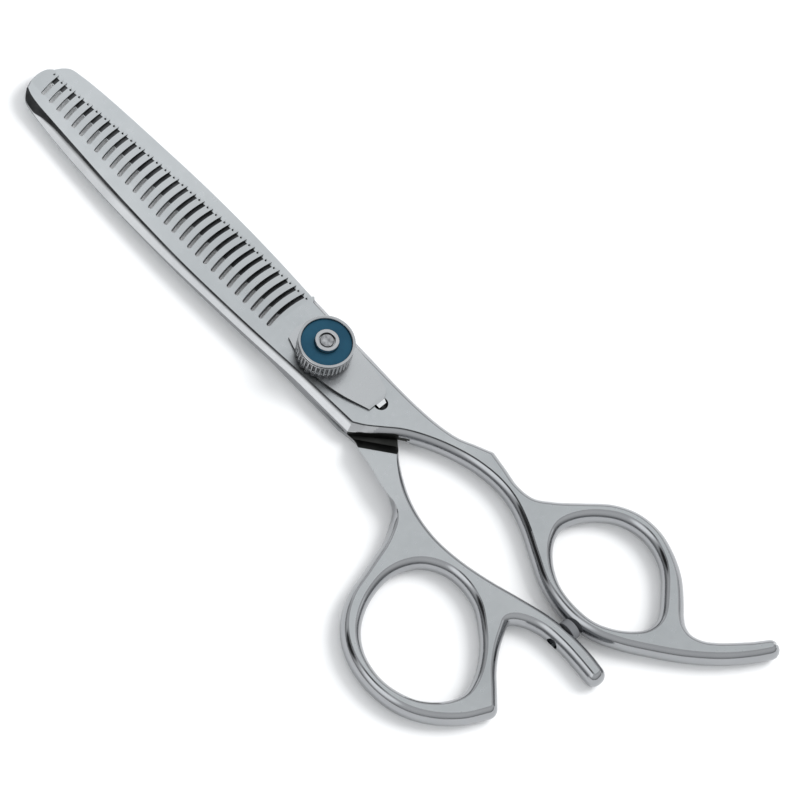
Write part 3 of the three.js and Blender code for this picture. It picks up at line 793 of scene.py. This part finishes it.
# Painted shade at the neck: the ride face, the ramp and the lower wall of the toothed half.
NECK_SHADE = steel(
    "neck_painted_shade_steel", (0.032, 0.033, 0.031), (0.05, 0.051, 0.049),
    (0.35, 0.5), (1, 1, 1), 900, 0.1, patch=260)
TURNED = steel(
    "turned_steel", (0.37, 0.38, 0.39), (0.47, 0.48, 0.49),
    (0.14, 0.24), (1, 1, 0.3), 900, 0.08)
SPRING = steel(
    "spring_steel", (0.5, 0.515, 0.525), (0.55, 0.565, 0.575),
    (0.27, 0.3), (1, 1, 1), 2500, 0.02)
KNURLED = steel(
    "knurled_steel", (0.42, 0.425, 0.435), (0.56, 0.565, 0.575),
    (0.14, 0.22), (1, 1, 0.3), 900, 0.08)
# Painted shade on the collar and click teeth under the knurled rim.
COLLAR_SHADE = steel(
    "collar_painted_shade_steel", (0.05, 0.052, 0.056), (0.11, 0.113, 0.118),
    (0.2, 0.3), (1, 1, 0.3), 900, 0.08)
BUSH = steel(
    "bush_steel", (0.42, 0.43, 0.44), (0.52, 0.53, 0.54),
    (0.14, 0.24), (1, 1, 0.3), 900, 0.08)
# Painted shade in the rim's groove and the knurl's valleys.
GROOVE_SHADE = steel(
    "groove_painted_shade_steel", (0.12, 0.122, 0.128), (0.19, 0.194, 0.2),
    (0.2, 0.3), (1, 1, 0.3), 900, 0.08)
# Painted shade on the leaf spring's cut edges.
LEAF_EDGE_SHADE = steel(
    "leaf_edge_painted_shade_steel", (0.05, 0.052, 0.056), (0.1, 0.103, 0.108),
    (0.3, 0.45), (1, 1, 0.3), 900, 0.08)
# Painted highlight on the leaf spring's bent tab.
TAB_HIGHLIGHT = steel(
    "tab_painted_highlight_steel", (0.86, 0.87, 0.88), (0.95, 0.96, 0.97),
    (0.3, 0.4), (1, 1, 1), 900, 0.04)
SCREW = steel(
    "screw_steel", (0.2, 0.205, 0.215), (0.5, 0.51, 0.52),
    (0.12, 0.3), (1, 1, 1), 1800, 0.5, patch=1500)
WASHER = plastic("washer_plastic", (0.74, 0.74, 0.71), (0.8, 0.8, 0.77), (0.45, 0.6))
BUMPER = plastic("bumper_grey", (0.125, 0.13, 0.14), (0.175, 0.18, 0.19), (0.35, 0.5))


def anodised():
    material, tree, shader = new_material("anodised_blue")
    fine = noise(tree, 1500, (1, 1, 1), 5)
    slow = noise(tree, 160, (1, 1, 1), 3)
    shader.inputs["Metallic"].default_value = 0.75
    shader.inputs["Coat Weight"].default_value = 0.2
    shader.inputs["Coat Roughness"].default_value = 0.12
    colour = tint(tree, spread(tree, slow, 0, 1), (0.006, 0.06, 0.108), (0.012, 0.085, 0.145))
    tree.links.new(colour, shader.inputs["Base Color"])
    tree.links.new(spread(tree, fine, 0.28, 0.42), shader.inputs["Roughness"])
    bump(tree, shader, fine, 0.2, 0.00001)
    return material


BLUE = anodised()

# Steel finishes together with painted light: flanks painted darker, a bevel painted lighter and two
# painted shades.
FINISHES_AND_PAINTED_LIGHT = (SATIN, POLISHED_PAINTED_DARK, BEVEL_HIGHLIGHT, SHADED, NECK_SHADE)
# Places in the tuple above; the fourth is painted shade on the hollow's floor, in the slots and the tab
# hole, and a painted dark reflection along the spine's chamfer.
FLAT, FLANK, SPINE_BEVEL, PAINTED_DARK, NECK_PAINTED_SHADE = range(len(FINISHES_AND_PAINTED_LIGHT))
LEVEL_Z = 0.975


def toothed_finish_and_painted_light(face):
    n = face.normal
    x, y, z = (c / MM for c in face.center)
    in_hole = math.hypot(x - TAB_HOLE_X, y - TAB_HOLE_Y) < TAB_HOLE_RADIUS + 0.05 and z < THICK - 0.2
    in_slot = x < -9 and abs(n.z) < 0.3 and y > tooth_root_y(x) - 0.6
    # Painted shade on the lower wall of the toothed half at the neck.
    if 13.5 < x < 22 and n.y < 0 and abs(n.z) < 0.45 and z < 3.4:
        return NECK_PAINTED_SHADE
    # Painted shade in the tab hole and on the upright walls among the teeth.
    if in_hole or in_slot:
        return PAINTED_DARK
    near_edge = y < -4 or NECK_X < x < 50 and n.y < 0
    if near_edge and 0.2 < n.z < LEVEL_Z:
        # Painted dark reflection on the fine chamfer along the spine and the handle's near edge.
        if z > chamfer_low_z(x):
            return PAINTED_DARK
        # Painted highlight on the spine bevel below the chamfer.
        if x < 17:
            return SPINE_BEVEL
    # Sloping faces take the flank steel, painted darker for its reflection.
    return FLAT if abs(n.z) > LEVEL_Z else FLANK


def plain_finish_and_painted_light(face):
    n = face.normal
    x, z = face.center.x / MM, face.center.z / MM
    faces_up = n.z > 0.9
    # Painted shade on the ride face beyond the neck and on the ramp.
    if x > NECK_X and abs(z - PLAIN_TOP) < 0.03 and faces_up or n.dot(RAMP_NORMAL) > 0.985:
        return NECK_PAINTED_SHADE
    # Painted shade on the floor of the hollow under the teeth.
    if x < -10 and abs(z - HOLLOW_Z) < 0.03 and faces_up:
        return PAINTED_DARK
    # Sloping faces take the flank steel, painted darker for its reflection.
    return FLAT if abs(n.z) > LEVEL_Z else FLANK


def leaf_finish_and_painted_light(face):
    """0 the plate, 1 its cut edges in painted shade, 2 the tab in a painted highlight."""
    if face.center.x > LEAF_BEND_X * MM and face.normal.z > 0.1:
        return 2
    return 1 if abs(face.normal.z) < 0.3 else 0


def dial_finish_and_painted_light(face):
    """0 top and hub, 1 knurl and rim, 2 collar and click teeth in painted shade, 3 painted shade in the
    groove and the knurl's valleys.
    """
    radius = math.hypot(face.center.x, face.center.y) / MM
    height = face.center.z / MM
    if radius > 4.5 and height < 6.45:
        return 2
    if 4.9 < radius < 5.13 and height < 10.01:
        return 3
    return 1 if radius > 4.9 and height < 9.95 else 0


def bush_finish_and_painted_light(face):
    """0 outside, 1 painted shade on the wall inside the lip."""
    inner = math.hypot(face.center.x, face.center.y) < 1.6 * MM
    return 1 if inner and abs(face.normal.z) < 0.6 else 0


def dress(obj, materials, body, nodes, chooser=None):
    """Gives a piece its materials, face by face where the chooser picks, and its body and nodes."""
    obj.data.materials.clear()
    for material in materials:
        obj.data.materials.append(material)
    # The chooser picks each face's material, painted shade and painted highlights among them.
    if chooser:
        for face in obj.data.polygons:
            face.material_index = chooser(face)
    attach(obj, body)
    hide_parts(*nodes)


dress(toothed_half(), FINISHES_AND_PAINTED_LIGHT, "toothed", ["toothed_half"], toothed_finish_and_painted_light)
dress(plain_half(), FINISHES_AND_PAINTED_LIGHT, "plain", ["plain_half"], plain_finish_and_painted_light)
dress(leaf_spring(), [SPRING, LEAF_EDGE_SHADE, TAB_HIGHLIGHT], "toothed", ["leaf_spring"], leaf_finish_and_painted_light)
dress(dial_wall(), [TURNED, KNURLED, COLLAR_SHADE, GROOVE_SHADE], "dial", ["tension_dial"], dial_finish_and_painted_light)

inlay = lathe("dial_inlay_blue", rounded([
    (2.24, 9.3), (4.70, 9.3), (4.70, 9.78), (2.24, 9.9)], 0.1))
dress(shade(inlay), [BLUE], "dial", ["dial_inlay"])

bush = lathe("dial_bush_steel", rounded([
    (1.94, 5.7), (2.2, 5.7), (2.2, 10.85), (1.5, 10.85), (1.5, 10.4), (1.94, 10.35)], 0.12))
dress(shade(bush), [BUSH, SHADED], "dial", ["dial_bush"], bush_finish_and_painted_light)


def pivot_screw():
    body = lathe("pivot_screw_steel", [
        (0, 0), (3.85, 0), (3.96, 0.04), (4.0, 0.15), (4.0, 1.0), (2.0, 1.0), (2.0, 5.0), (1.9, 5.0),
        (1.9, 10.3), (1.28, 10.3), (1.28, 10.56), (1.2, 10.65), (1.0, 10.7), (0.6, 10.74), (0, 10.75)])
    for x in (-2.6, 2.6):
        cut(body, prism("spanner", circle(0.5, 32, x), -1, 0.5))
    for side in (-1, 1):
        near, far = side * 1.6, side * 3
        cut(body, prism("flat", [(-3, near), (3, near), (3, far), (-3, far)], 2.55, 6.15))
    return shade(body)


dress(pivot_screw(), [SCREW], "toothed", ["pivot_screw"])

head_washer = lathe("head_washer_plastic", rounded([
    (2.1, 1.02), (3.9, 1.02), (3.9, 1.23), (2.1, 1.23)], 0.04))
dress(shade(head_washer), [WASHER], "toothed", ["head_washer"])
ride_washer = lathe("ride_washer_plastic", rounded([
    (2.1, 2.07), (4.4, 2.07), (4.4, 2.53), (2.1, 2.53)], 0.05))
dress(shade(ride_washer), [WASHER], "toothed", ["ride_washer"])
thrust = prism("thrust_washer_steel", circle(3.2), 5.29, 5.65)
cut(thrust, prism("key", keyed(2.04, 1.64), 5, 6))
dress(shade(thrust), [TURNED], "carriage", ["thrust_washer"])


def stop_bumper():
    profile = rounded([(0, 5.0), (1.1, 5.0), (1.1, 2.9), (2.05, 2.9), (2.05, 1.37), (0, 1.37)], 0.16, 4)
    pad = lathe("stop_bumper_grey", profile, 64)
    place = Matrix.Translation((BUMPER_X * MM, 0, MID * MM)) @ Matrix.Rotation(math.pi / 2, 4, "X")
    return shade(moved(pad, place))


dress(stop_bumper(), [BUMPER], "plain", ["stop_bumper"])


# ---------------------------------------------------------------- stage
CENTRE = Vector((14.35, 6.76, 0)) * MM


def floor():
    mesh = bpy.data.meshes.new("floor")
    half = 0.6
    corners = [(-half, -half, 0), (half, -half, 0), (half, half, 0), (-half, half, 0)]
    mesh.from_pydata(corners, [], [(0, 1, 2, 3)])
    obj = bpy.data.objects.new("floor", mesh)
    bpy.context.scene.collection.objects.link(obj)
    obj.location = (0, 0, -0.00005)
    material, tree, shader = new_material("floor_white")
    shader.inputs["Base Color"].default_value = (0.93, 0.935, 0.94, 1)
    shader.inputs["Roughness"].default_value = 0.9
    shader.inputs["Emission Color"].default_value = (0.93, 0.935, 0.94, 1)
    shader.inputs["Emission Strength"].default_value = 0.07
    mesh.materials.append(material)


def key_lamp():
    light = bpy.data.lights.new("key", "AREA")
    light.shape = "RECTANGLE"
    light.size = light.size_y = 0.8
    light.energy = 15
    obj = bpy.data.objects.new("key", light)
    bpy.context.scene.collection.objects.link(obj)
    obj.location = CENTRE + Vector((0.4, 0.9, 1.15))
    obj.rotation_euler = (CENTRE - obj.location).to_track_quat("-Z", "Y").to_euler()
    obj.visible_glossy = False


def camera():
    turn, tilt, roll = (math.radians(a) for a in (30.73, 62.7, 17.8))
    right = Vector((math.cos(turn), math.sin(turn), 0))
    level = Vector((-math.sin(turn), math.cos(turn), 0))
    forward = level * math.cos(tilt) - Vector((0, 0, math.sin(tilt)))
    up = right.cross(forward)
    r = right * math.cos(roll) + up * math.sin(roll)
    u = up * math.cos(roll) - right * math.sin(roll)
    data = bpy.data.cameras.new("view")
    data.lens = 1500
    data.sensor_width = 36
    data.clip_end = 20
    distance = data.lens / data.sensor_width * 0.144485
    obj = bpy.data.objects.new("view", data)
    bpy.context.scene.collection.objects.link(obj)
    place = CENTRE - forward * distance
    obj.matrix_world = Matrix((
        (r.x, u.x, -forward.x, place.x),
        (r.y, u.y, -forward.y, place.y),
        (r.z, u.z, -forward.z, place.z),
        (0, 0, 0, 1)))
    bpy.context.scene.camera = obj


def studio():
    """Bright tent with a few soft dark and bright patches for the steel to mirror."""
    world = bpy.data.worlds.new("studio")
    bpy.context.scene.world = world
    world.use_nodes = True
    tree = world.node_tree
    coords = tree.nodes.new("ShaderNodeTexCoord")
    split = tree.nodes.new("ShaderNodeSeparateXYZ")
    tree.links.new(coords.outputs["Generated"], split.inputs[0])
    ramp = tree.nodes.new("ShaderNodeValToRGB")
    stops = [(0.0, 0.3), (0.09, 0.42), (0.25, 0.8), (0.5, 0.95), (0.72, 0.8), (0.9, 0.85), (1.0, 0.85)]
    while len(ramp.color_ramp.elements) < len(stops):
        ramp.color_ramp.elements.new(0.5)
    for element, (place, level) in zip(ramp.color_ramp.elements, stops):
        element.position = place
        element.color = (level * 0.985, level, level * 1.015, 1)
    tree.links.new(split.outputs["Z"], ramp.inputs[0])
    strength = None
    # azimuth and angle from the zenith, inner and outer radius in degrees, level
    patches = [
        (210, 47, 11, 18, 0.04), (219, 69, 10, 17, 0.05), (240, 31, 8, 14, 0.07),
        (128, 29, 5, 22, 1.2), (262, 62, 10, 24, 1.9), (170, 84, 6, 14, 2.2), (60, 78, 5, 14, 1.8),
    ]
    for azimuth, zenith, inner, outer, level in patches:
        a, e = math.radians(azimuth), math.radians(zenith)
        dot = tree.nodes.new("ShaderNodeVectorMath")
        dot.operation = "DOT_PRODUCT"
        dot.inputs[1].default_value = (math.sin(e) * math.cos(a), math.sin(e) * math.sin(a), math.cos(e))
        tree.links.new(coords.outputs["Generated"], dot.inputs[0])
        patch = tree.nodes.new("ShaderNodeMapRange")
        patch.interpolation_type = "SMOOTHSTEP"
        patch.inputs["From Min"].default_value = math.cos(math.radians(outer))
        patch.inputs["From Max"].default_value = math.cos(math.radians(inner))
        patch.inputs["To Min"].default_value = 1.0
        patch.inputs["To Max"].default_value = level
        tree.links.new(dot.outputs["Value"], patch.inputs["Value"])
        if strength is None:
            strength = patch.outputs[0]
        else:
            product = tree.nodes.new("ShaderNodeMath")
            product.operation = "MULTIPLY"
            tree.links.new(strength, product.inputs[0])
            tree.links.new(patch.outputs[0], product.inputs[1])
            strength = product.outputs[0]
    background = tree.nodes["Background"]
    tree.links.new(ramp.outputs["Color"], background.inputs["Color"])
    tree.links.new(strength, background.inputs["Strength"])


floor()
camera()
key_lamp()
studio()
bpy.context.scene.view_settings.view_transform = "Standard"
